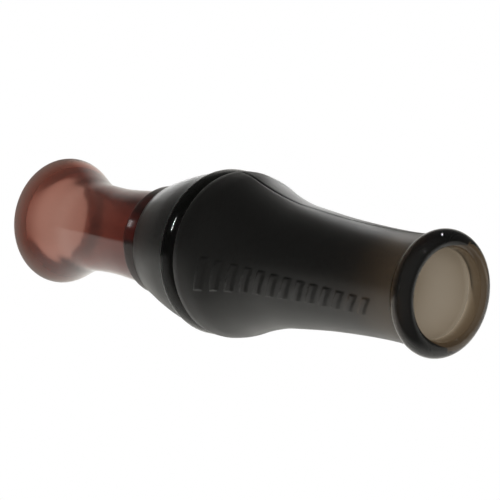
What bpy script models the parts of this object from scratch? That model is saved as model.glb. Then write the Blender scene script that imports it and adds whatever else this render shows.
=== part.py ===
"""Duck call: a turned barrel that pulls off a bell-mouthed insert, with a double-reed tone board inside.

The call stands on its bell. +Z runs up the axis from the bell's rim, at z = 0, to the mouthpiece lip.
The tone board's table and both reeds face +X. Lengths are in metres, and radii are measured from the axis.
"""

import math

import bmesh
import bpy
from mathutils import Matrix, Vector

MM = 0.001

# ---- driving dimensions -------------------------------------------------------------------------------------
LENGTH = 135.5 * MM          # bell rim to the front of the lip
BORE_R = 7.94 * MM           # the usual five-eighths inch barrel bore
SHOULDER_Z = 48.1 * MM       # rear end of the barrel, where it meets the insert's flange
BAND_LOW_Z = 64.7 * MM       # the polished band around the widest place
BAND_HIGH_Z = 68.9 * MM
BAND_R = 19.0 * MM
GAP = 0.3 * MM               # air left between neighbouring pieces

# ---- insert -------------------------------------------------------------------------------------------------
RIM_R = 15.9 * MM            # widest place of the bell
RIM_ROUND = 0.6 * MM         # radius of the rim's outer edge; the flat inside it carries the call
MOUTH_R = 10.9 * MM          # bell mouth, with a sharp edge on the flat
FLANGE_LOW_Z = 42.4 * MM
FLANGE_R = 13.0 * MM
FLANGE_ROUND = 0.7 * MM
TUNNEL_R = 5.2 * MM          # the half-round air tunnel behind the flange
TUNNEL_FLAT_X = 1.2 * MM     # the tunnel's flat side
THROAT_R = 6.3 * MM          # where the bell's round bore ends and the tunnel starts
THROAT_Z = 37.4 * MM
SOCKET_FLOOR_Z = 46.0 * MM
SOCKET_R = 5.6 * MM
TENON_R = 7.7 * MM
TENON_TOP_Z = 66.0 * MM
TENON_CHAMFER = 0.6 * MM
GROOVE_R = 6.35 * MM         # floor of each seal groove
GROOVE_HALF = 0.85 * MM
SEAL_ZS = (52.6 * MM, 61.6 * MM)
SEAL_RING_R = 7.15 * MM
SEAL_WIRE_R = 0.65 * MM

# ---- barrel -------------------------------------------------------------------------------------------------
TUBE_R = 9.6 * MM            # outside of the rigid tube under the soft covers
MOUTH_TUBE_R = 10.2 * MM     # the same, where the bore opens out towards the lip
MOUTH_BORE_R = 9.25 * MM
BORE_OPENS_Z = 106.0 * MM    # the bore widens from here ...
MOUTH_Z = 120.0 * MM         # ... to here
LIP_R = 13.2 * MM
LIP_ROUND = 2.5 * MM
LIP_EDGE_R = 9.65 * MM       # inner edge of the lip
LIP_BASE_Z = 130.3 * MM      # underside of the lip, at the tube
CONE_END_R = 14.1 * MM
COVER_ROUND = 0.45 * MM      # small round on the ends of the soft covers

# ---- tone board, reeds and wedge ----------------------------------------------------------------------------
BOARD_R = 7.3 * MM
BOARD_LOW_Z = TENON_TOP_Z + GAP
BOARD_TIP_Z = 101.0 * MM
PLUG_R = SOCKET_R - GAP
PLUG_LOW_Z = SOCKET_FLOOR_Z + GAP
TABLE_X = 0.4 * MM           # the flat that the reeds lie on
LAY_Z = 78.0 * MM            # where the table starts to curve away from the reeds
LAY_R = 200.0 * MM
ROOF_X = 4.6 * MM            # underside of the roof over the wedge
ROOF_TOP_Z = 75.0 * MM
POCKET_FLOOR_Z = 67.5 * MM
POCKET_HALF_Y = 5.0 * MM
CHANNEL_HALF_Y = 2.3 * MM
CHANNEL_FLOOR_X = -3.1 * MM
CHANNEL_TOP_Z = 96.5 * MM
NOSE_R = 5.2 * MM            # corner radius of the board's tip, seen from the front
REED_THICK = 0.3 * MM
REED_HALF_Y = 4.6 * MM
REED_TAIL_Z = 68.2 * MM
REED_HINGE_Z = 71.0 * MM     # where the wedge clamps the reeds
REED_TIP_ZS = (100.0 * MM, 98.8 * MM)
REED_CORNER = 2.2 * MM
WEDGE_LOW_Z = 67.9 * MM
WEDGE_TOP_Z = 78.0 * MM
WEDGE_HALF_Y = 4.7 * MM

TURN_STEPS = 40


# ---- scene helpers ------------------------------------------------------------------------------------------
def clear_scene():
    for obj in list(bpy.data.objects):
        bpy.data.objects.remove(obj)


def collection(name):
    made = bpy.data.collections.new(name)
    bpy.context.scene.collection.children.link(made)
    return made


def plastic(name, colour, roughness, transmission=0.0):
    """A Principled material; colour is linear red, green and blue."""
    made = bpy.data.materials.new(name)
    made.use_nodes = True
    shader = made.node_tree.nodes["Principled BSDF"]
    shader.inputs["Base Color"].default_value = (*colour, 1.0)
    shader.inputs["Roughness"].default_value = roughness
    shader.inputs["Metallic"].default_value = 0.0
    shader.inputs["Transmission Weight"].default_value = transmission
    made.diffuse_color = (*colour, 1.0)
    return made


def place(obj, home, material=None, parent=None):
    """Puts an object in a collection, gives it a material, and parents it without moving it."""
    home.objects.link(obj)
    if material:
        obj.data.materials.append(material)
    if parent:
        obj.parent = parent
        obj.matrix_parent_inverse = Matrix.Translation(-parent.location)
    return obj


def joint_empty(name, location, home):
    empty = bpy.data.objects.new(name, None)
    empty.location = location
    empty.empty_display_size = 5 * MM
    home.objects.link(empty)
    return empty


def as_cutter(obj):
    obj.hide_render = True
    obj.display_type = "WIRE"
    return obj


def boolean(obj, operation, other):
    modifier = obj.modifiers.new(f"{operation.lower()} {other.name}", "BOOLEAN")
    modifier.operation = operation
    modifier.solver = "EXACT"
    modifier.object = other


def smooth(mesh):
    mesh.shade_smooth()
    mesh.set_sharp_from_angle(angle=math.radians(35))


# ---- outlines -----------------------------------------------------------------------------------------------
def arc(centre, radius, start_deg, end_deg, steps):
    """Points on a circle in an outline's own two coordinates, from one angle to another."""
    points = []
    for i in range(steps + 1):
        angle = math.radians(start_deg + (end_deg - start_deg) * i / steps)
        points.append((centre[0] + radius * math.cos(angle), centre[1] + radius * math.sin(angle)))
    return points


def flowing(points, steps):
    """A Catmull-Rom curve through the points, with this many pieces between each two."""
    ends = [points[0], *points, points[-1]]
    found = []
    for i in range(len(points) - 1):
        before, start, end, after = (Vector(p) for p in ends[i:i + 4])
        for k in range(steps):
            t = k / steps
            found.append(0.5 * (2 * start + (end - before) * t
                                + (2 * before - 5 * start + 4 * end - after) * t ** 2
                                + (3 * start - before - 3 * end + after) * t ** 3))
    found.append(Vector(points[-1]))
    return [tuple(p) for p in found]


def in_mm(*pairs):
    return [(r * MM, z * MM) for r, z in pairs]


def turned(name, outline, closed, home, material=None, parent=None):
    """Revolves an outline of (radius, z) points, which runs down the outer side, about the Z axis."""
    mesh = bpy.data.meshes.new(name)
    count = len(outline)
    edges = [(i, i + 1) for i in range(count - 1)]
    if closed:
        edges.append((count - 1, 0))
    mesh.from_pydata([(r, 0, z) for r, z in outline], edges, [])
    obj = place(bpy.data.objects.new(name, mesh), home, material, parent)
    screw = obj.modifiers.new("turn", "SCREW")
    screw.axis = "Z"
    screw.steps = screw.render_steps = TURN_STEPS
    screw.use_merge_vertices = True
    screw.merge_threshold = 1e-5
    screw.use_smooth_shade = True
    return obj


def outline_curve(name, points, half_thick):
    """A 2D curve filled on both sides and extruded; its plane is its own XY plane."""
    curve = bpy.data.curves.new(name, "CURVE")
    curve.dimensions = "2D"
    curve.fill_mode = "BOTH"
    curve.extrude = half_thick
    spline = curve.splines.new("POLY")
    spline.points.add(len(points) - 1)
    for point, (u, v) in zip(spline.points, points):
        point.co = (u, v, 0, 1)
    spline.use_cyclic_u = True
    return bpy.data.objects.new(name, curve)


def curve_to_mesh(curve_obj, home):
    """The curve's solid as a mesh object, with its loose caps welded, in place of the curve."""
    name = curve_obj.name
    home.objects.link(curve_obj)
    bpy.context.view_layer.update()
    graph = bpy.context.evaluated_depsgraph_get()
    mesh = bpy.data.meshes.new_from_object(curve_obj.evaluated_get(graph))
    work = bmesh.new()
    work.from_mesh(mesh)
    bmesh.ops.remove_doubles(work, verts=work.verts, dist=1e-6)
    bmesh.ops.recalc_face_normals(work, faces=work.faces)
    work.to_mesh(mesh)
    work.free()
    matrix = curve_obj.matrix_world.copy()
    bpy.data.objects.remove(curve_obj)
    made = bpy.data.objects.new(name, mesh)
    made.matrix_world = matrix
    home.objects.link(made)
    return made


def bmesh_object(name, work):
    mesh = bpy.data.meshes.new(name)
    work.to_mesh(mesh)
    work.free()
    return bpy.data.objects.new(name, mesh)


def cylinder(name, radius, low_z, high_z):
    work = bmesh.new()
    bmesh.ops.create_cone(work, cap_ends=True, segments=TURN_STEPS, radius1=radius, radius2=radius,
                          depth=high_z - low_z)
    obj = bmesh_object(name, work)
    obj.location = (0, 0, (low_z + high_z) / 2)
    return obj


def box(name, low, high):
    work = bmesh.new()
    low, high = Vector(low), Vector(high)
    bmesh.ops.create_cube(work, size=1, matrix=Matrix.Diagonal((*(high - low), 1)))
    obj = bmesh_object(name, work)
    obj.location = (low + high) / 2
    return obj


# ---- the insert: bell, neck, flange and tenon ---------------------------------------------------------------
def groove(centre_z):
    """A square seal groove in the tenon, from its upper edge to its lower one."""
    return [(TENON_R, centre_z + GROOVE_HALF), (GROOVE_R, centre_z + GROOVE_HALF),
            (GROOVE_R, centre_z - GROOVE_HALF), (TENON_R, centre_z - GROOVE_HALF)]


def insert_outline():
    flange_high_z = SHOULDER_Z - GAP
    socket = [(0, SOCKET_FLOOR_Z), (SOCKET_R, SOCKET_FLOOR_Z), (SOCKET_R, TENON_TOP_Z)]
    tenon = [(TENON_R - TENON_CHAMFER, TENON_TOP_Z), (TENON_R, TENON_TOP_Z - TENON_CHAMFER)]
    for centre_z in reversed(SEAL_ZS):
        tenon += groove(centre_z)
    tenon.append((TENON_R, flange_high_z))
    flange_centre_r = FLANGE_R - FLANGE_ROUND
    flange = arc((flange_centre_r, flange_high_z - FLANGE_ROUND), FLANGE_ROUND, 90, 0, 4)
    flange += arc((flange_centre_r, FLANGE_LOW_Z + FLANGE_ROUND), FLANGE_ROUND, 0, -90, 4)
    neck = flowing(in_mm((11.4, 42.0), (11.1, 36.0), (10.7, 30.0), (10.5, 25.0), (10.65, 19.5),
                         (11.1, 14.0), (12.25, 9.7), (13.85, 5.4), (15.35, 2.0)), 2)
    rim_centre_r = RIM_R - RIM_ROUND
    rim = arc((rim_centre_r, RIM_ROUND), RIM_ROUND, 0, -90, 6)
    mouth = [(MOUTH_R, 0)]
    funnel = flowing(in_mm((10.4, 4.0), (9.3, 8.0), (8.4, 12.0), (7.6, 16.0), (6.9, 22.0)), 2)
    throat = [(THROAT_R, THROAT_Z), (0, THROAT_Z)]
    return socket + tenon + flange + neck + rim + mouth + funnel + throat


def tunnel_cutter(home):
    """The half-round air tunnel: a cylinder with everything past its flat side cut away."""
    work = bmesh.new()
    low_z = THROAT_Z - 3 * MM
    high_z = SOCKET_FLOOR_Z + 3 * MM
    bmesh.ops.create_cone(work, cap_ends=True, segments=TURN_STEPS, radius1=TUNNEL_R, radius2=TUNNEL_R,
                          depth=high_z - low_z, matrix=Matrix.Translation((0, 0, (low_z + high_z) / 2)))
    cut = bmesh.ops.bisect_plane(work, geom=[*work.verts, *work.edges, *work.faces],
                                 plane_co=(TUNNEL_FLAT_X, 0, 0), plane_no=(1, 0, 0), clear_outer=True)
    rim_edges = [g for g in cut["geom_cut"] if isinstance(g, bmesh.types.BMEdge)]
    bmesh.ops.contextual_create(work, geom=rim_edges)
    bmesh.ops.recalc_face_normals(work, faces=work.faces)
    obj = bmesh_object("tunnel_cutter", work)
    home.objects.link(obj)
    return as_cutter(obj)


def build_insert(home, cutters, material, parent):
    insert = turned("insert", insert_outline(), False, home, material, parent)
    boolean(insert, "DIFFERENCE", tunnel_cutter(cutters))
    return insert


def build_seals(home, material, parent):
    """Two O-rings, one in each groove of the tenon."""
    for name, centre_z in zip(("o_ring_rear", "o_ring_front"), SEAL_ZS):
        bpy.ops.mesh.primitive_torus_add(major_radius=SEAL_RING_R, minor_radius=SEAL_WIRE_R,
                                         major_segments=TURN_STEPS, minor_segments=10,
                                         location=(0, 0, centre_z))
        ring = bpy.context.object
        ring.name = name
        for old in list(ring.users_collection):
            old.objects.unlink(ring)
        place(ring, home, material, parent)
        smooth(ring.data)


# ---- the barrel: rigid tube, band, and the two soft covers ---------------------------------------------------------
def lip_outline():
    """From the lip's inner edge over its rolled front and down its outer side to the grip cover."""
    roll_centre = (LIP_R - LIP_ROUND, LENGTH - LIP_ROUND)
    inner_round = 1.0 * MM
    inner = arc((LIP_EDGE_R + inner_round, LENGTH - inner_round), inner_round, 180, 90, 4)
    outer = arc(roll_centre, LIP_ROUND, 90, -45, 12)
    return inner + outer[1:]


def band_outline():
    """The crowned band, from its upper edge to its lower one."""
    low_r, high_r = 18.7 * MM, 18.45 * MM
    crown = (BAND_R, (BAND_LOW_Z + BAND_HIGH_Z) / 2 - 0.3 * MM)
    crowned = flowing([(high_r - 0.5 * MM, BAND_HIGH_Z), (high_r, BAND_HIGH_Z - 0.25 * MM), crown,
                       (low_r, BAND_LOW_Z + 0.25 * MM), (low_r - 0.5 * MM, BAND_LOW_Z)], 3)
    return [*crowned, (TUBE_R + GAP, BAND_LOW_Z), (TUBE_R + GAP, BAND_HIGH_Z)]


def tube_outline():
    """The rigid tube with its lip, from the bore's lower end up, over the lip and down the outside."""
    chamfer = 0.5 * MM
    inner = [(BORE_R + chamfer, SHOULDER_Z), (BORE_R, SHOULDER_Z + chamfer), (BORE_R, BORE_OPENS_Z),
             (MOUTH_BORE_R, MOUTH_Z), (MOUTH_BORE_R, LENGTH - 4.6 * MM)]
    neck = [(MOUTH_TUBE_R, LIP_BASE_Z), (MOUTH_TUBE_R, MOUTH_Z), (TUBE_R, BORE_OPENS_Z)]
    return inner + lip_outline() + neck + [(TUBE_R, SHOULDER_Z)]


def grip_outline():
    """The soft grip cover, from its top inner corner down its outer side and back up along the tube."""
    low_z, high_z = BAND_HIGH_Z + GAP, LIP_BASE_Z - GAP
    outer = flowing(in_mm((11.75, 130.4), (11.45, 126.0), (11.4, 121.0), (11.65, 113.5), (12.25, 104.0),
                          (13.2, 95.0), (14.0, 88.8), (15.2, 83.6), (16.75, 79.0), (18.3, 74.4),
                          (18.95, 71.0)), 2)
    end = arc((18.95 * MM - COVER_ROUND, low_z + COVER_ROUND), COVER_ROUND, 0, -90, 3)
    inner = [(TUBE_R + GAP, low_z), (TUBE_R + GAP, BORE_OPENS_Z), (MOUTH_TUBE_R + GAP, MOUTH_Z),
             (MOUTH_TUBE_R + GAP, high_z)]
    return [*outer, *end, *inner]


def cone_outline():
    low_z, high_z = SHOULDER_Z, BAND_LOW_Z - GAP
    outer = flowing(in_mm((18.72, 63.9), (17.5, 58.6), (16.0, 53.6), (14.35, 49.0)), 3)
    end = arc((CONE_END_R - COVER_ROUND, low_z + COVER_ROUND), COVER_ROUND, 0, -90, 3)
    inner = [(TUBE_R + GAP, low_z), (TUBE_R + GAP, high_z)]
    return [(18.45 * MM, high_z), *outer, *end, *inner]


def build_barrel(home, hard, soft, parent):
    turned("barrel_tube", tube_outline(), True, home, hard, parent)
    turned("band_ring", band_outline(), True, home, hard, parent)
    turned("grip_sleeve", grip_outline(), True, home, soft, parent)
    turned("rear_cone", cone_outline(), True, home, soft, parent)


# ---- the tone board -----------------------------------------------------------------------------------------
def lay_x(z):
    """Height of the table at z: flat, then a large arc that falls away from the reeds."""
    past = max(0.0, z - LAY_Z)
    return TABLE_X - (LAY_R - math.sqrt(LAY_R ** 2 - past ** 2))


def table_cutter(home):
    """Everything above the table in front of the wedge's roof. Its outline is in X and Z."""
    steps = 10
    past_tip = BOARD_TIP_Z + 3 * MM
    above = BOARD_R + 2 * MM
    points = [(above, ROOF_TOP_Z), (above, past_tip)]
    for i in range(steps + 1):
        z = past_tip + (LAY_Z - past_tip) * i / steps
        points.append((lay_x(z), z))
    points.append((TABLE_X, ROOF_TOP_Z))
    cutter = outline_curve("table_cutter", points, BOARD_R + 2 * MM)
    cutter.rotation_euler = (math.radians(90), 0, 0)
    return as_cutter(curve_to_mesh(cutter, home))


def channel_cutter(home):
    """The air channel: a slot with a round floor, from behind the plug to a round end under the reeds' tips."""
    floor_centre_x = CHANNEL_FLOOR_X + CHANNEL_HALF_Y
    low_z = PLUG_LOW_Z - 3 * MM
    top_x = TABLE_X + 0.6 * MM
    section = [(top_x, -CHANNEL_HALF_Y), (top_x, CHANNEL_HALF_Y)]
    section += arc((floor_centre_x, 0), CHANNEL_HALF_Y, 90, 270, 10)
    half_length = (CHANNEL_TOP_Z - low_z) / 2
    cutter = outline_curve("channel_cutter", section, half_length)
    cutter.location = (0, 0, low_z + half_length)
    return as_cutter(curve_to_mesh(cutter, home))


def nose_cutter(home):
    """What rounds the board's tip when seen from the front: a square end less a round-cornered one."""
    half_y = BOARD_R + 2 * MM
    low_z, high_z = BOARD_TIP_Z - NOSE_R, BOARD_TIP_Z + 3 * MM
    corner = BOARD_R + 0.4 * MM - NOSE_R
    points = [(half_y, low_z), (half_y, high_z), (-half_y, high_z), (-half_y, low_z)]
    points += arc((-corner, low_z), NOSE_R, 180, 90, 8)
    points += arc((corner, low_z), NOSE_R, 90, 0, 8)
    cutter = outline_curve("nose_cutter", points, BOARD_R + 1 * MM)
    cutter.rotation_euler = (math.radians(90), 0, math.radians(90))
    return as_cutter(curve_to_mesh(cutter, home))


def build_toneboard(home, cutters, material, parent):
    board = place(cylinder("toneboard", BOARD_R, BOARD_LOW_Z, BOARD_TIP_Z + 1 * MM), home, material, parent)
    plug = cylinder("plug_form", PLUG_R, PLUG_LOW_Z, BOARD_LOW_Z + 1 * MM)
    pocket = box("pocket_cutter", (TABLE_X, -POCKET_HALF_Y, POCKET_FLOOR_Z),
                 (ROOF_X, POCKET_HALF_Y, ROOF_TOP_Z + 1 * MM))
    for helper in (plug, pocket):
        cutters.objects.link(as_cutter(helper))
    boolean(board, "UNION", plug)
    for cutter in (table_cutter(cutters), pocket, channel_cutter(cutters), nose_cutter(cutters)):
        boolean(board, "DIFFERENCE", cutter)
    smooth(board.data)
    return board


def reed_height(index):
    """X of a reed's mid-plane, counted up from the table."""
    return TABLE_X + GAP + REED_THICK / 2 + index * (REED_THICK + GAP)


def build_reed(name, index, home, material, parent):
    """A flat reed with clipped front corners. Its origin is on the line where the wedge clamps it."""
    tail, tip = REED_TAIL_Z - REED_HINGE_Z, REED_TIP_ZS[index] - REED_HINGE_Z
    points = [(-REED_HALF_Y, tail), (REED_HALF_Y, tail), (REED_HALF_Y, tip - REED_CORNER),
              (REED_HALF_Y - REED_CORNER, tip), (REED_CORNER - REED_HALF_Y, tip),
              (-REED_HALF_Y, tip - REED_CORNER)]
    reed = outline_curve(name, points, REED_THICK / 2)
    reed.location = (reed_height(index), 0, REED_HINGE_Z)
    reed.rotation_euler = (math.radians(90), 0, math.radians(90))
    return place(reed, home, material, parent)


def build_wedge(home, material, parent):
    """The block that jams the reeds' tails under the roof. Its front end is thinner."""
    low_x = reed_height(1) + REED_THICK / 2 + GAP
    wedge = box("reed_wedge", (low_x, -WEDGE_HALF_Y, WEDGE_LOW_Z), (ROOF_X - GAP, WEDGE_HALF_Y, WEDGE_TOP_Z))
    taper = 0.7 * MM
    for vertex in wedge.data.vertices:
        if vertex.co.z > 0 and vertex.co.x > 0:
            vertex.co.x -= taper
    place(wedge, home, material, parent)
    bevel = wedge.modifiers.new("soft edges", "BEVEL")
    bevel.width = 0.3 * MM
    bevel.segments = 2
    return wedge


# ---- assembly -----------------------------------------------------------------------------------------------
def main():
    clear_scene()
    parts = collection("duck_call")
    cutters = collection("cutters")
    cutters.hide_render = True

    smoke_hard = plastic("smoke_gloss", (0.030, 0.027, 0.023), 0.12, 0.5)
    smoke_soft = plastic("smoke_soft", (0.012, 0.011, 0.010), 0.45, 0.2)
    amber_red = plastic("insert_red", (0.24, 0.075, 0.055), 0.22, 0.7)
    board_black = plastic("board_black", (0.018, 0.017, 0.016), 0.35)
    mylar = plastic("reed_mylar", (0.62, 0.62, 0.58), 0.25, 0.6)
    cork = plastic("wedge_cork", (0.42, 0.25, 0.13), 0.85)
    rubber = plastic("seal_rubber", (0.015, 0.015, 0.015), 0.5)

    seals_middle = Vector((0, 0, sum(SEAL_ZS) / 2))
    insert_root = joint_empty("insert_frame", (0, 0, 0), parts)
    barrel_turn = joint_empty("barrel_turn_axis", seals_middle, parts)
    board_pull = joint_empty("toneboard_pull_axis", (0, 0, SOCKET_FLOOR_Z), parts)

    build_insert(parts, cutters, amber_red, insert_root)
    build_seals(parts, rubber, barrel_turn)
    build_barrel(parts, smoke_hard, smoke_soft, barrel_turn)
    build_toneboard(parts, cutters, board_black, board_pull)
    build_reed("reed_lower", 0, parts, mylar, board_pull)
    build_reed("reed_upper", 1, parts, mylar, board_pull)
    build_wedge(parts, cork, board_pull)


main()
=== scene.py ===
"""Looks for the duck call: finely turned clear and satin plastics, and a bright product studio.

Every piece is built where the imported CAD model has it, with +Z up the call's axis from the bell to
the lip. Outlines are (radius, height) pairs in millimetres. Angles round the axis are in degrees from
the camera's side, positive towards +X, unless they are called turns, which are in radians from +X.
"""

import math

import bmesh
import bpy
from mathutils import Matrix, Vector


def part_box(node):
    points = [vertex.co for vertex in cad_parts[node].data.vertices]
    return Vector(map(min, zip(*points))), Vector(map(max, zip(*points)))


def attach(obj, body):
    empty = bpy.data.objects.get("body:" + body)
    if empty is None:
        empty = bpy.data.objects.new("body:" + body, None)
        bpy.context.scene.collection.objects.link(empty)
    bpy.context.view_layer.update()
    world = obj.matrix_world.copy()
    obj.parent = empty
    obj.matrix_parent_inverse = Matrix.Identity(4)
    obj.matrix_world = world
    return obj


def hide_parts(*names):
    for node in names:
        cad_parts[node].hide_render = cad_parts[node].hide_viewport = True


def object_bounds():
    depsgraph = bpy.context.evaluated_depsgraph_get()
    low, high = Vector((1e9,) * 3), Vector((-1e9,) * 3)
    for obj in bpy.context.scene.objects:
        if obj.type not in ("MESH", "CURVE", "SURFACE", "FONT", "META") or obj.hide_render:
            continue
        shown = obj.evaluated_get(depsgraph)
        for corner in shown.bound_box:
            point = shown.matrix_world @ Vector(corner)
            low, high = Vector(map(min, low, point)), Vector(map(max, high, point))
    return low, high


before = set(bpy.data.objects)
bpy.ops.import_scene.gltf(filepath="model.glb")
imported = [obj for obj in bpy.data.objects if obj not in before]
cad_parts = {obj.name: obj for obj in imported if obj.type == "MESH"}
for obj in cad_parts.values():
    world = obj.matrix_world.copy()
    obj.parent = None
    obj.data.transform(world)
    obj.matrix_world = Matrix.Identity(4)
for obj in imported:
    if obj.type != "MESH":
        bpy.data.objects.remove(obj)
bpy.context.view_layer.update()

MM = 0.001

# ---- the camera --------------------------------------------------------------------------------
LENS = 132.0                 # mm, on Blender's 36 mm sensor
VIEW_ELEVATION = math.radians(49.26)
VIEW_ROLL = math.radians(100.82)
VIEW_DISTANCE = 412.4 * MM
AIM_Z = 73.58 * MM           # the point of the axis near the middle of the picture, and its offsets
AIM_RIGHT = -0.18 * MM
AIM_UP = 1.48 * MM

# ---- small lamps near the object, each lighting one piece --------------------------------------
# For each: the piece's CAD node, the spot where the camera sees the lamp reflected (radius, degrees
# round, height), the degrees the surface leans up there, and the lamp's distance from the spot, its
# size across and along, in mm, and its brightness.
LAMPS = {
    "band_lamp": ("band_ring", (19.0, -12.0, 67.2), 9.0, 40, (13.0, 1.8), 75.0),
    "cone_lamp": ("rear_cone", (16.5, -55.0, 56.0), -17.0, 45, (30.0, 25.0), 2.3),
    "sleeve_lamp": ("grip_sleeve", (12.4, -70.0, 110.0), 5.0, 60, (20.0, 60.0), 1.3),
    "flange_lamp": ("insert", (13.0, -9.5, 46.6), -5.0, 30, (5.5, 2.0), 6.5),
    "lip_lamp": ("barrel_tube", (12.5, -72.0, 134.8), 46.0, 60, (3.0, 6.0), 60.0),
    "lip_side_lamp": ("barrel_tube", (11.7, -43.0, 135.2), 66.0, 60, (2.0, 2.0), 60.0),
}

# ---- brightness of the studio ------------------------------------------------------------------
TABLE = (0.18, 0.91)         # on the camera's side of the object, and beyond it
BACKDROP = 0.78
ROOM = (0.33, 0.14)          # behind the camera, and beside it

# ---- sizes, in mm ------------------------------------------------------------------------------
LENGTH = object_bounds()[1].z / MM
SHOULDER_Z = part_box("rear_cone")[0].z / MM       # the barrel's rear end
BAND_LOW_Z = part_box("band_ring")[0].z / MM
BAND_HIGH_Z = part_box("band_ring")[1].z / MM
GAP = 0.3                        # air between neighbouring pieces
FLOOR_SIZE = 8.0                 # metres
FLOOR_DROP = 0.02 * MM           # so the bell's flat rim and the floor don't share a plane
STEPS = 160                      # points round a turned piece
SHARP_ANGLE = math.radians(40)   # edges sharper than this stay crisp, or are rounded on a CAD piece

SOCKET_R, SOCKET_FLOOR_Z = 5.6, 46.0
TENON_R, TENON_TOP_Z, TENON_CHAMFER = 7.7, 66.0, 0.6
GROOVE_R, GROOVE_HALF = 6.35, 0.85
SEAL_ZS = {"o_ring_rear": 52.6, "o_ring_front": 61.6}
SEAL_R, SEAL_WIRE_R = 7.15, 0.65
SEAL_FLASH = {9: 0.05, 27: -0.04}    # mould flash, at the ring's outermost and innermost points
FLANGE_R, FLANGE_ROUND = 13.0, 0.7
FLANGE_LOW_Z, FLANGE_HIGH_Z = 42.4, 47.8
RIM_R, RIM_ROUND, MOUTH_R = 15.9, 0.6, 10.9
THROAT_R, THROAT_Z = 6.3, 37.4       # where the bell's round bore ends
TUNNEL_R, TUNNEL_FLAT_X = 5.2, 1.2   # the half-round air tunnel above it
TUNNEL_CUT_ZS = (35.0, 49.0)

BORE_R, TUBE_R, BORE_CHAMFER = 7.94, 9.6, 0.5
BORE_OPENS_Z, MOUTH_Z = 106.0, 120.0
MOUTH_BORE_R, MOUTH_TUBE_R = 9.25, 10.2
LIP_BASE_Z = 130.3
LIP_ROLL_R, LIP_ROLL_ROUND = 10.7, 2.5       # the middle and the roundness of the lip's roll
LIP_EDGE_R, LIP_EDGE_ROUND = 10.65, 1.0      # the same for its inner edge
LIP_DEPTH = 4.6                  # from the lip's top to where the bore opens into it
SLEEVE_R, SLEEVE_ROUND = 18.95, 0.45
CONE_R, CONE_END_R, CONE_ROUND = 18.3, 14.3, 0.3
CONE_SEAM = 0.05                 # between the cone and the band
CORK_PIT_SIZE, CORK_PIT_DEPTH = 1.1, 0.35

PARTING_ANGLES = (-75.0, 105.0)  # the sleeve's two mould parting lines
PARTING_WIDTH = 1.0              # degrees to each side
PARTING_DEPTH = 0.2
BARS = 13                        # raised slanted bars to grip the sleeve by
BARS_FROM_Z, BARS_PITCH = 77.0, 3.75
BARS_MIDDLE = (19.0, 29.0)       # degrees round, at the first bar and at the last
BARS_HALF = (13.5, 10.5)         # half a bar's length in degrees, at the first and at the last
BARS_HEIGHT = 0.42
BARS_SLANT = 1.3                 # how far a bar's ends are above and below its middle
BARS_FLAT_HALF, BARS_FOOT_HALF = 0.6, 1.15       # half a bar's width at its top and at its foot
BARS_MARGIN = 1                  # degrees of finely divided sleeve past the bars' ends
BARS_STEPS = 60                  # points round the sleeve across the bars
COARSE_STEP, LEAST_STEP = 2.5, 1.2   # degrees between points elsewhere, and the least there may be

# ---- colours: what a clear plastic takes out of red, green and blue in a mm, and the light's tone
SMOKE = (0.54, 0.62, 0.73)
RED = (0.18, 0.38, 0.44)
WARM = (1.0, 0.985, 0.93, 1)
WHITE = (1, 1, 1, 1)


# ---- outlines ----------------------------------------------------------------------------------
def arc(centre, radius, start_deg, end_deg, steps):
    """Points on an arc, its angles anticlockwise from straight outwards."""
    points = []
    for i in range(steps + 1):
        angle = math.radians(start_deg + (end_deg - start_deg) * i / steps)
        points.append((centre[0] + radius * math.cos(angle), centre[1] + radius * math.sin(angle)))
    return points


def flowing(points, steps):
    """A Catmull-Rom curve through the points, with this many pieces between each two."""
    ends = [points[0], *points, points[-1]]
    found = []
    for i in range(len(points) - 1):
        before, start, end, after = (Vector(p) for p in ends[i:i + 4])
        for k in range(steps):
            t = k / steps
            found.append(0.5 * (2 * start + (end - before) * t
                                + (2 * before - 5 * start + 4 * end - after) * t ** 2
                                + (3 * start - before - 3 * end + after) * t ** 3))
    found.append(Vector(points[-1]))
    return [tuple(p) for p in found]


# ---- turns round the axis, anticlockwise from above from +X -----------------------------------
EVEN_TURNS = [2 * math.pi * k / STEPS for k in range(STEPS)]


def from_camera(turn):
    """Degrees round from the camera's side, positive towards +X, between -180 and 180."""
    return (math.degrees(turn) + 90 + 180) % 360 - 180


def sleeve_turns():
    """Close together over the grip bars and at the two parting lines, and wider elsewhere."""
    low = BARS_MIDDLE[0] - BARS_HALF[0] - BARS_MARGIN
    high = BARS_MIDDLE[1] + BARS_HALF[1] + BARS_MARGIN
    fine = [low + (high - low) * k / BARS_STEPS for k in range(BARS_STEPS + 1)]
    for line in PARTING_ANGLES:
        fine += [line + side * PARTING_WIDTH for side in (-1.0, -0.5, 0.0, 0.5, 1.0)]
    coarse = [-180 + COARSE_STEP * k for k in range(int(360 / COARSE_STEP))]
    kept = [c for c in coarse if min(abs(c - f) for f in fine) > LEAST_STEP]
    return [math.radians(a - 90) for a in sorted(fine + kept)]


# ---- meshes ------------------------------------------------------------------------------------
def placed(name, work):
    """The bmesh as an object in the scene."""
    mesh = bpy.data.meshes.new(name)
    work.to_mesh(mesh)
    work.free()
    obj = bpy.data.objects.new(name, mesh)
    bpy.context.scene.collection.objects.link(obj)
    return obj


def no_offset(index, z, turn):
    return 0.0


def add_ring(work, index, point, turns, offset):
    """The vertices of one outline point at every turn. On the axis they are all one vertex."""
    radius, height = point
    if radius == 0:
        return [work.verts.new((0, 0, height * MM))] * len(turns)
    ring = []
    for turn in turns:
        r = radius + offset(index, height, turn)
        place = (r * math.cos(turn) * MM, r * math.sin(turn) * MM, height * MM)
        ring.append(work.verts.new(place))
    return ring


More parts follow.
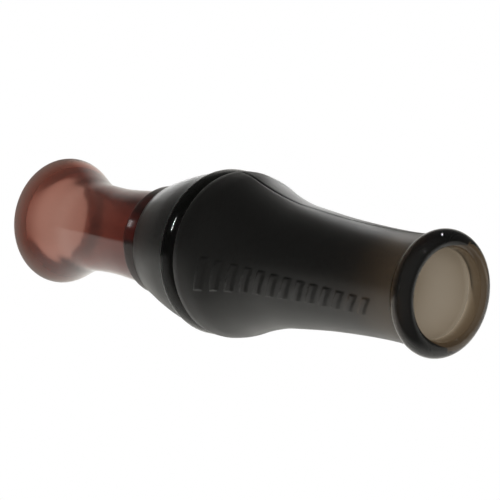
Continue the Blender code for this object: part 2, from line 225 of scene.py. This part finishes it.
def add_strip(work, upper, lower):
    """The faces between two rings, which are triangles at the axis."""
    faces = []
    steps = len(upper)
    for k in range(steps):
        n = (k + 1) % steps
        corners = []
        for vertex in (upper[k], lower[k], lower[n], upper[n]):
            if vertex not in corners:
                corners.append(vertex)
        if len(corners) > 2:
            faces.append(work.faces.new(corners))
    return faces


def turned(name, outline, turns=EVEN_TURNS, offset=no_offset, seams=(), frosted=()):
    """Revolves a closed outline that runs down its outer side through all the turns.

    offset(index, z, turn) moves points outwards, in mm. The outline segments numbered in seams are faces
    that touch another clear plastic, and those in frosted are less polished.
    """
    work = bmesh.new()
    touches = work.faces.layers.float.new("seam")
    frosts = work.faces.layers.float.new("frost")
    rings = [add_ring(work, index, point, turns, offset) for index, point in enumerate(outline)]
    closed = outline[0][0] > 0
    below = rings[1:] + rings[:1] if closed else rings[1:]
    for segment, (upper, lower) in enumerate(zip(rings, below)):
        for face in add_strip(work, upper, lower):
            face.smooth = True
            face[touches] = float(segment in seams)
            face[frosts] = float(segment in frosted)
    return placed(name, work)


PIECES = {}                      # the visible piece made for each CAD node


def finish_piece(obj, body, node, material):
    """Gives the piece its material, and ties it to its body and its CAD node."""
    PIECES[node] = obj
    obj.data.materials.append(material)
    obj.data.set_sharp_from_angle(angle=SHARP_ANGLE)
    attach(obj, body)
    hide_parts(node)


# ---- node helpers ------------------------------------------------------------------------------
def add(tree, kind, values=None, **settings):
    """Adds a node. values sets or links its inputs by name or number."""
    made = tree.nodes.new(kind)
    for key, value in settings.items():
        setattr(made, key, value)
    for key, value in (values or {}).items():
        if isinstance(value, bpy.types.NodeSocket):
            tree.links.new(value, made.inputs[key])
        else:
            made.inputs[key].default_value = value
    return made


def maths(tree, operation, *values):
    return add(tree, "ShaderNodeMath", dict(enumerate(values)), operation=operation).outputs[0]


def remap(tree, value, source, target, kind="LINEAR"):
    """Takes a value from one range to another, clamped to the second."""
    values = {"Value": value, "From Min": source[0], "From Max": source[1],
              "To Min": target[0], "To Max": target[1]}
    return add(tree, "ShaderNodeMapRange", values, interpolation_type=kind).outputs[0]


def smoothstep(tree, value, low, high):
    return remap(tree, value, (low, high), (0.0, 1.0), "SMOOTHSTEP")


def dot(tree, vector, constant):
    values = {0: vector, 1: tuple(constant)}
    return add(tree, "ShaderNodeVectorMath", values, operation="DOT_PRODUCT").outputs["Value"]


def noise(tree, place, scale, detail):
    values = {"Vector": place, "Scale": scale, "Detail": detail}
    return add(tree, "ShaderNodeTexNoise", values).outputs["Fac"]


def blend_colours(tree, factor, first, second):
    """first and second are colours, or the outputs that give them."""
    made = add(tree, "ShaderNodeMix", {"Factor": factor}, data_type="RGBA")
    for name, colour in (("A", first), ("B", second)):
        if isinstance(colour, bpy.types.NodeSocket):
            tree.links.new(colour, made.inputs[name])
        else:
            made.inputs[name].default_value = colour
    return made.outputs["Result"]


def blend_shaders(tree, factor, first, second):
    return add(tree, "ShaderNodeMixShader", {0: factor, 1: first, 2: second}).outputs[0]


def bump_from(tree, height, depth):
    """A normal bumped by the height, depth in mm."""
    values = {"Height": height, "Strength": 1.0, "Distance": depth * MM}
    return add(tree, "ShaderNodeBump", values).outputs[0]


def new_material(name):
    """A new material, its node tree and its Principled shader."""
    material = bpy.data.materials.new(name)
    material.use_nodes = True
    tree = material.node_tree
    return material, tree, tree.nodes["Principled BSDF"]


# ---- the camera and the studio it belongs to ---------------------------------------------------
def camera_axes():
    """The picture's right and up, and the direction from the object back to the camera."""
    back = Vector((0, -math.cos(VIEW_ELEVATION), math.sin(VIEW_ELEVATION)))
    level = Vector((1, 0, 0))
    steep = Vector((0, math.sin(VIEW_ELEVATION), math.cos(VIEW_ELEVATION)))
    right = level * math.cos(VIEW_ROLL) + steep * math.sin(VIEW_ROLL)
    up = -level * math.sin(VIEW_ROLL) + steep * math.cos(VIEW_ROLL)
    return right, up, back


RIGHT, UP, BACK = camera_axes()


def add_camera():
    data = bpy.data.cameras.new("camera")
    data.lens = LENS
    data.clip_start, data.clip_end = 0.01, 20
    camera = bpy.data.objects.new("camera", data)
    place = Vector((0, 0, AIM_Z)) + RIGHT * AIM_RIGHT + UP * AIM_UP + BACK * VIEW_DISTANCE
    turn = Matrix((RIGHT, UP, BACK)).transposed()
    camera.matrix_world = Matrix.Translation(place) @ turn.to_4x4()
    bpy.context.scene.collection.objects.link(camera)
    bpy.context.scene.camera = camera


def studio_group():
    """Brightness of the studio in a direction: a white table and backdrop, and a dark camera side."""
    group = bpy.data.node_groups.new("studio", "ShaderNodeTree")
    group.interface.new_socket("Direction", in_out="INPUT", socket_type="NodeSocketVector")
    group.interface.new_socket("Strength", in_out="OUTPUT", socket_type="NodeSocketFloat")
    source = group.nodes.new("NodeGroupInput").outputs[0]
    ahead = dot(group, source, -BACK)
    down = dot(group, source, -UP)
    near_table = remap(group, ahead, (-0.35, 0.12), TABLE)
    table = maths(group, "MULTIPLY", smoothstep(group, down, 0.0, 0.1), near_table)
    backdrop = maths(group, "MULTIPLY", smoothstep(group, ahead, 0.5, 1.0), BACKDROP)
    room = remap(group, ahead, (-0.8, -0.1), ROOM)
    bright = maths(group, "MAXIMUM", maths(group, "MAXIMUM", table, backdrop), room)
    add(group, "NodeGroupOutput", {0: bright})
    return group


def studio_light(tree, group, direction, kind):
    """The studio's slightly warm light from a direction, which the camera itself sees as white."""
    studio = add(tree, "ShaderNodeGroup", node_tree=group)
    tree.links.new(direction, studio.inputs[0])
    camera_ray = add(tree, "ShaderNodeLightPath").outputs["Is Camera Ray"]
    strength = maths(tree, "MAXIMUM", studio.outputs[0], camera_ray)
    tone = blend_colours(tree, camera_ray, WARM, WHITE)
    return add(tree, kind, {"Strength": strength, "Color": tone}).outputs[0]


def studio_world(group):
    world = bpy.data.worlds.new("studio")
    world.use_nodes = True
    tree = world.node_tree
    tree.nodes.clear()
    direction = add(tree, "ShaderNodeTexCoord").outputs["Generated"]
    light = studio_light(tree, group, direction, "ShaderNodeBackground")
    add(tree, "ShaderNodeOutputWorld", {"Surface": light})
    bpy.context.scene.world = world


def floor_glow(group):
    """The camera sees the floor white, and sees through it from below. Other rays see the studio in
    their direction.
    """
    material = bpy.data.materials.new("pale_floor")
    material.use_nodes = True
    tree = material.node_tree
    tree.nodes.clear()
    seen = add(tree, "ShaderNodeNewGeometry").outputs
    towards = {0: seen["Incoming"], "Scale": -1.0}
    direction = add(tree, "ShaderNodeVectorMath", towards, operation="SCALE").outputs[0]
    light = studio_light(tree, group, direction, "ShaderNodeEmission")
    open_below = add(tree, "ShaderNodeBsdfTransparent").outputs[0]
    surface = blend_shaders(tree, seen["Backfacing"], light, open_below)
    add(tree, "ShaderNodeOutputMaterial", {"Surface": surface})
    return material


def add_floor(group):
    bpy.ops.mesh.primitive_grid_add(x_subdivisions=8, y_subdivisions=8, size=FLOOR_SIZE,
                                    location=(0, 0, -FLOOR_DROP))
    floor = bpy.context.object
    floor.name = "floor"
    floor.data.materials.append(floor_glow(group))


def add_lamp(name, node, spot, lean, distance, size, brightness):
    """A soft rectangular lamp, placed where the camera sees it reflected at the spot."""
    radius, degrees, height = spot
    turn, lean = math.radians(degrees - 90), math.radians(lean)
    outwards = Vector((math.cos(turn), math.sin(turn), 0))
    aim = (outwards * radius + Vector((0, 0, height))) * MM
    normal = outwards * math.cos(lean) + Vector((0, 0, math.sin(lean)))
    away = (2 * BACK.dot(normal) * normal - BACK).normalized()
    data = bpy.data.lights.new(name, "AREA")
    data.shape = "RECTANGLE"
    data.size, data.size_y = (side * MM for side in size)
    data.energy = brightness * math.pi * data.size * data.size_y
    lamp = bpy.data.objects.new(name, data)
    across = Vector((-math.sin(turn), math.cos(turn), 0))
    side = (across - away * across.dot(away)).normalized()
    axes = Matrix((side, away.cross(side), away)).transposed()
    lamp.matrix_world = Matrix.Translation(aim + away * distance * MM) @ axes.to_4x4()
    lamp.visible_camera = False
    lit = bpy.data.collections.new(name + "_lights")
    lit.objects.link(PIECES[node])
    lamp.light_linking.receiver_collection = lit
    bpy.context.scene.collection.objects.link(lamp)


# ---- materials ---------------------------------------------------------------------------------
def absorption(tree, per_mm):
    """The inside of a plastic that takes this much out of red, green and blue in a mm."""
    densest = max(per_mm)
    passed = (*(1 - k / densest for k in per_mm), 1)
    values = {"Density": densest / MM, "Color": passed}
    return add(tree, "ShaderNodeVolumeAbsorption", values).outputs[0]


def clear_plastic(name, per_mm, roughness, ior=1.5, seams=False, bump=0.0, grain=0.3,
                  frosting=0.0, haze=0.0):
    """Plastic that light passes through. grain and bump are in mm.

    With seams, light goes straight through the faces that touch another clear plastic. The less
    polished faces are rougher by frosting, and scatter the share haze of the light.
    """
    material, tree, shader = new_material(name)
    shader.inputs["Base Color"].default_value = WHITE
    shader.inputs["Transmission Weight"].default_value = 1.0
    shader.inputs["IOR"].default_value = ior
    place = add(tree, "ShaderNodeTexCoord").outputs["Object"]
    smudge = noise(tree, place, 90.0, 3.0)
    wear = remap(tree, smudge, (0.35, 0.7), (roughness * 0.9, roughness * 1.1))
    frost = add(tree, "ShaderNodeAttribute", attribute_name="frost").outputs["Fac"]
    dulled = maths(tree, "MULTIPLY_ADD", frost, frosting, wear)
    tree.links.new(dulled, shader.inputs["Roughness"])
    if bump:
        fine = noise(tree, place, 1000 / grain, 2.0)
        tree.links.new(bump_from(tree, fine, bump), shader.inputs["Normal"])
    surface = shader.outputs[0]
    if haze:
        scattered = add(tree, "ShaderNodeBsdfTranslucent", {"Color": WHITE}).outputs[0]
        surface = blend_shaders(tree, maths(tree, "MULTIPLY", frost, haze), surface, scattered)
    if seams:
        touching = add(tree, "ShaderNodeAttribute", attribute_name="seam").outputs["Fac"]
        straight = add(tree, "ShaderNodeBsdfTransparent").outputs[0]
        surface = blend_shaders(tree, touching, surface, straight)
    output = tree.nodes["Material Output"]
    tree.links.new(absorption(tree, per_mm), output.inputs["Volume"])
    tree.links.new(surface, output.inputs["Surface"])
    return material


def moulded_solid(name, colour, roughness, grain, bump, speckle=0.0, speckle_colour=(0, 0, 0)):
    """Opaque plastic, rubber or cork: clouded colour, uneven gloss, fine grain, and specks if any.

    grain and bump are in mm, and speckle is the specks' strength.
    """
    material, tree, shader = new_material(name)
    place = add(tree, "ShaderNodeTexCoord").outputs["Object"]
    cloud = noise(tree, place, 180.0, 4.0)
    darker = (*(c * 0.7 for c in colour), 1)
    lighter = (*(min(c * 1.35, 1) for c in colour), 1)
    tint = blend_colours(tree, cloud, darker, lighter)
    spacing = {"Vector": place, "Scale": 1000 / (grain * 6)}
    cells = add(tree, "ShaderNodeTexVoronoi", spacing).outputs["Distance"]
    if speckle:
        specks = maths(tree, "MULTIPLY", smoothstep(tree, cells, 0.3, 0.1), speckle)
        tint = blend_colours(tree, specks, tint, (*speckle_colour, 1))
    tree.links.new(tint, shader.inputs["Base Color"])
    gloss = remap(tree, cloud, (0.3, 0.7), (roughness * 0.85, roughness * 1.15))
    tree.links.new(gloss, shader.inputs["Roughness"])
    fine = noise(tree, place, 1000 / grain, 3.0)
    height = maths(tree, "MULTIPLY_ADD", cells, speckle, fine)
    tree.links.new(bump_from(tree, height, bump), shader.inputs["Normal"])
    return material


def reed_film(name):
    """Frosted polyester film: pale, a little see-through, with fine scratches along the reed."""
    material, tree, shader = new_material(name)
    place = add(tree, "ShaderNodeTexCoord").outputs["Object"]
    drawn_out = {"Vector": place, "Scale": (6000, 6000, 120)}
    scratch = noise(tree, add(tree, "ShaderNodeMapping", drawn_out).outputs[0], 1.0, 3.0)
    tone = blend_colours(tree, scratch, (0.66, 0.68, 0.66, 1), (0.84, 0.86, 0.84, 1))
    tree.links.new(tone, shader.inputs["Base Color"])
    shader.inputs["Transmission Weight"].default_value = 0.45
    shader.inputs["IOR"].default_value = 1.6
    dull = remap(tree, scratch, (0.0, 1.0), (0.22, 0.42))
    tree.links.new(dull, shader.inputs["Roughness"])
    tree.links.new(bump_from(tree, scratch, 0.004), shader.inputs["Normal"])
    return material


# ---- insert ------------------------------------------------------------------------------------
def insert_outline():
    """The outline, and the numbers of its less polished segments.

    These are the flange's, and all those from the rim's flat on.
    """
    socket = [(0, SOCKET_FLOOR_Z), (SOCKET_R, SOCKET_FLOOR_Z), (SOCKET_R, TENON_TOP_Z)]
    tenon = [(TENON_R - TENON_CHAMFER, TENON_TOP_Z), (TENON_R, TENON_TOP_Z - TENON_CHAMFER)]
    for centre in reversed(SEAL_ZS.values()):
        high, low = centre + GROOVE_HALF, centre - GROOVE_HALF
        tenon += [(TENON_R, high), (GROOVE_R, high), (GROOVE_R, low), (TENON_R, low)]
    tenon.append((TENON_R, FLANGE_HIGH_Z))
    flange_centre_r = FLANGE_R - FLANGE_ROUND
    flange = arc((flange_centre_r, FLANGE_HIGH_Z - FLANGE_ROUND), FLANGE_ROUND, 90, 0, 8)
    flange += arc((flange_centre_r, FLANGE_LOW_Z + FLANGE_ROUND), FLANGE_ROUND, 0, -90, 8)
    neck = flowing([(11.4, 42.0), (11.1, 36.0), (10.7, 30.0), (10.5, 25.0), (10.65, 19.5),
                    (11.1, 14.0), (12.25, 9.7), (13.85, 5.4), (15.35, 2.0)], 8)
    rim = arc((RIM_R - RIM_ROUND, RIM_ROUND), RIM_ROUND, 20, -90, 10)
    funnel = flowing([(MOUTH_R, 0.1), (10.4, 4.0), (9.3, 8.0), (8.4, 12.0), (7.6, 16.0), (6.9, 22.0)], 8)
    cavity = [(MOUTH_R, 0.0), *funnel, (THROAT_R, THROAT_Z), (0, THROAT_Z)]
    above = socket + tenon
    outside = above + flange + neck + rim
    outline = outside + cavity
    flange_segments = range(len(above), len(above + flange) - 1)
    bell_segments = range(len(outside) - 1, len(outline))
    return outline, [*flange_segments, *bell_segments]


def tunnel_form():
    """The half-round air tunnel as a solid to cut away, with its flat towards +X."""
    low, high = (z * MM for z in TUNNEL_CUT_ZS)
    work = bmesh.new()
    bmesh.ops.create_cone(work, cap_ends=True, segments=96, depth=high - low,
                          radius1=TUNNEL_R * MM, radius2=TUNNEL_R * MM,
                          matrix=Matrix.Translation((0, 0, (low + high) / 2)))
    cut = bmesh.ops.bisect_plane(work, geom=[*work.verts, *work.edges, *work.faces], clear_outer=True,
                                 plane_co=(TUNNEL_FLAT_X * MM, 0, 0), plane_no=(1, 0, 0))
    edges = [g for g in cut["geom_cut"] if isinstance(g, bmesh.types.BMEdge)]
    bmesh.ops.contextual_create(work, geom=edges)
    bmesh.ops.recalc_face_normals(work, faces=work.faces)
    return placed("tunnel_form", work)


def build_insert(material):
    outline, dulled = insert_outline()
    insert = turned("insert_body", outline, frosted=dulled)
    form = tunnel_form()
    modifier = insert.modifiers.new("tunnel", "BOOLEAN")
    modifier.operation = "DIFFERENCE"
    modifier.object = form
    modifier.solver = "EXACT"
    bpy.context.view_layer.update()
    graph = bpy.context.evaluated_depsgraph_get()
    made = bpy.data.meshes.new_from_object(insert.evaluated_get(graph))
    insert.modifiers.clear()
    insert.data = made
    bpy.data.objects.remove(form)
    finish_piece(insert, "insert", "insert", material)


# ---- barrel ------------------------------------------------------------------------------------
def build_tube(material):
    """The tube with its rolled lip. The sleeve and cone touch the last faces of the outline."""
    inner = [(BORE_R + BORE_CHAMFER, SHOULDER_Z), (BORE_R, SHOULDER_Z + BORE_CHAMFER)]
    inner += flowing([(BORE_R, BORE_OPENS_Z), (8.6, 113.0), (MOUTH_BORE_R, MOUTH_Z),
                      (MOUTH_BORE_R, LENGTH - LIP_DEPTH)], 6)
    edge_z, roll_z = LENGTH - LIP_EDGE_ROUND, LENGTH - LIP_ROLL_ROUND
    lip = arc((LIP_EDGE_R, edge_z), LIP_EDGE_ROUND, 180, 90, 8)
    lip += arc((LIP_ROLL_R, roll_z), LIP_ROLL_ROUND, 90, -45, 24)[1:]
    outer = [(11.75, 130.95), (MOUTH_TUBE_R, LIP_BASE_Z), (MOUTH_TUBE_R, MOUTH_Z),
             (TUBE_R, BORE_OPENS_Z), (TUBE_R, SHOULDER_Z)]
    outline = inner + lip + outer
    seams = range(len(outline) - len(outer), len(outline) - 1)
    tube = turned("tube_and_lip", outline, seams=seams)
    finish_piece(tube, "barrel", "barrel_tube", material)


def rise(value, low, high):
    """From 0 below low to 1 above high, rounded at both."""
    t = min(max((value - low) / (high - low), 0.0), 1.0)
    return t * t * (3 - 2 * t)


def grip_relief(z, turn):
    """How far the sleeve stands out at a place: the raised bars and the sunk parting lines."""
    angle = from_camera(turn)
    share = min(max((z - BARS_FROM_Z) / (BARS_PITCH * (BARS - 1)), 0.0), 1.0)
    middle = BARS_MIDDLE[0] + (BARS_MIDDLE[1] - BARS_MIDDLE[0]) * share
    half = BARS_HALF[0] + (BARS_HALF[1] - BARS_HALF[0]) * share
    across = (angle - middle) / half
    along = (z + BARS_SLANT * across - BARS_FROM_Z) / BARS_PITCH
    relief = 0.0
    if -0.5 < along < BARS - 0.5:
        from_middle = abs(along - round(along)) * BARS_PITCH
        ends = rise(abs(across), 0.84, 1.0)
        sides = rise(from_middle, BARS_FLAT_HALF, BARS_FOOT_HALF)
        relief = BARS_HEIGHT * (1 - ends) * (1 - sides)
    for line in PARTING_ANGLES:
        relief -= PARTING_DEPTH * (1 - rise(abs(angle - line), 0.0, PARTING_WIDTH))
    return relief


def build_sleeve(material):
    low, high = BAND_HIGH_Z + GAP, LIP_BASE_Z - GAP
    outer = flowing([(11.75, 130.4), (11.45, 126.0), (11.4, 121.0), (11.65, 113.5), (12.25, 104.0),
                     (13.2, 95.0), (14.0, 88.8), (15.2, 83.6), (16.6, 79.0), (18.25, 74.4),
                     (SLEEVE_R, 71.0)], 24)
    end = arc((SLEEVE_R - SLEEVE_ROUND, low + SLEEVE_ROUND), SLEEVE_ROUND, 0, -90, 4)
    inner = [(TUBE_R + GAP, low), (TUBE_R + GAP, BORE_OPENS_Z), (MOUTH_TUBE_R + GAP, MOUTH_Z),
             (MOUTH_TUBE_R + GAP, high)]
    outline = outer + end + inner
    seams = range(len(outline) - len(inner) - 1, len(outline))

    def relief(index, z, turn):
        return grip_relief(z, turn) if index < len(outer) else 0.0

    sleeve = turned("grip_cover", outline, sleeve_turns(), relief, seams)
    finish_piece(sleeve, "barrel", "grip_sleeve", material)


def build_band(material):
    inner_r = TUBE_R + GAP
    crown = flowing([(17.9, 68.9), (18.4, 68.7), (18.82, 67.4), (19.0, 65.95), (19.0, 65.1),
                     (18.9, 64.7)], 8)
    band = turned("band", [*crown, (inner_r, BAND_LOW_Z), (inner_r, BAND_HIGH_Z)])
    finish_piece(band, "barrel", "band_ring", material)


def build_cone(material):
    inner_r = TUBE_R + GAP
    low, high = SHOULDER_Z, BAND_LOW_Z - CONE_SEAM
    outer = flowing([(CONE_R, 64.4), (17.4, 58.9), (16.0, 53.6), (14.6, 49.3)], 8)
    end = arc((CONE_END_R - CONE_ROUND, low + CONE_ROUND), CONE_ROUND, 20, -90, 8)
    cone = turned("cone", [(CONE_R, high), *outer, *end, (inner_r, low), (inner_r, high)])
    finish_piece(cone, "barrel", "rear_cone", material)


# ---- seals, tone board, reeds and wedge --------------------------------------------------------
def build_seal(node, material):
    """An O-ring with the fine mould flash round its outside and inside."""
    outline = arc((SEAL_R, SEAL_ZS[node]), SEAL_WIRE_R, 90, -270, 36)[:-1]

    def flash(index, z, turn):
        return SEAL_FLASH.get(index, 0.0)

    seal = turned(node + "_seal", outline, offset=flash)
    finish_piece(seal, "seals", node, material)


def round_edges(node, material, width):
    """Gives a CAD piece its material, and rounds its edges by the width in mm."""
    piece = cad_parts[node]
    piece.data.materials.clear()
    piece.data.materials.append(material)
    bevel = piece.modifiers.new("rounded_edges", "BEVEL")
    bevel.width = width * MM
    bevel.segments = 3
    bevel.limit_method = "ANGLE"
    bevel.angle_limit = SHARP_ANGLE


def crumple_cork():
    """The cork wedge's surface is pitted and slightly uneven."""
    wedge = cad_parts["reed_wedge"]
    split = wedge.modifiers.new("fine_mesh", "SUBSURF")
    split.subdivision_type = "SIMPLE"
    split.levels = split.render_levels = 5
    pits = bpy.data.textures.new("cork_pits", "CLOUDS")
    pits.noise_scale = CORK_PIT_SIZE * MM
    uneven = wedge.modifiers.new("pits", "DISPLACE")
    uneven.texture = pits
    uneven.texture_coords = "LOCAL"
    uneven.mid_level = 0.85
    uneven.strength = CORK_PIT_DEPTH * MM


# ---- assembly ----------------------------------------------------------------------------------
smoke_gloss = clear_plastic("smoke_gloss", SMOKE, roughness=0.04, seams=True)
smoke_satin = clear_plastic("smoke_satin", SMOKE, roughness=0.42, seams=True, bump=0.0015, grain=0.15)
smoke_band = clear_plastic("smoke_band", SMOKE, roughness=0.08, ior=1.28)
insert_red = clear_plastic("insert_red", RED, roughness=0.03, frosting=0.14, haze=0.3)

build_insert(insert_red)
build_tube(smoke_gloss)
build_sleeve(smoke_satin)
build_band(smoke_band)
build_cone(smoke_satin)

rubber = moulded_solid("seal_rubber", (0.016, 0.016, 0.017), roughness=0.5, grain=0.15, bump=0.012)
board_black = moulded_solid("board_black", (0.013, 0.013, 0.014), roughness=0.34, grain=0.25, bump=0.01)
cork = moulded_solid("wedge_cork", (0.42, 0.25, 0.13), roughness=0.85, grain=0.14, bump=0.06,
                     speckle=0.8, speckle_colour=(0.12, 0.055, 0.025))
film = reed_film("reed_mylar")
for node in SEAL_ZS:
    build_seal(node, rubber)
round_edges("toneboard", board_black, 0.25)
round_edges("reed_lower", film, 0.08)
round_edges("reed_upper", film, 0.08)
round_edges("reed_wedge", cork, 0.5)
crumple_cork()

group = studio_group()
studio_world(group)
add_floor(group)
for name, settings in LAMPS.items():
    add_lamp(name, *settings)
add_camera()
bpy.context.scene.view_settings.view_transform = "Standard"
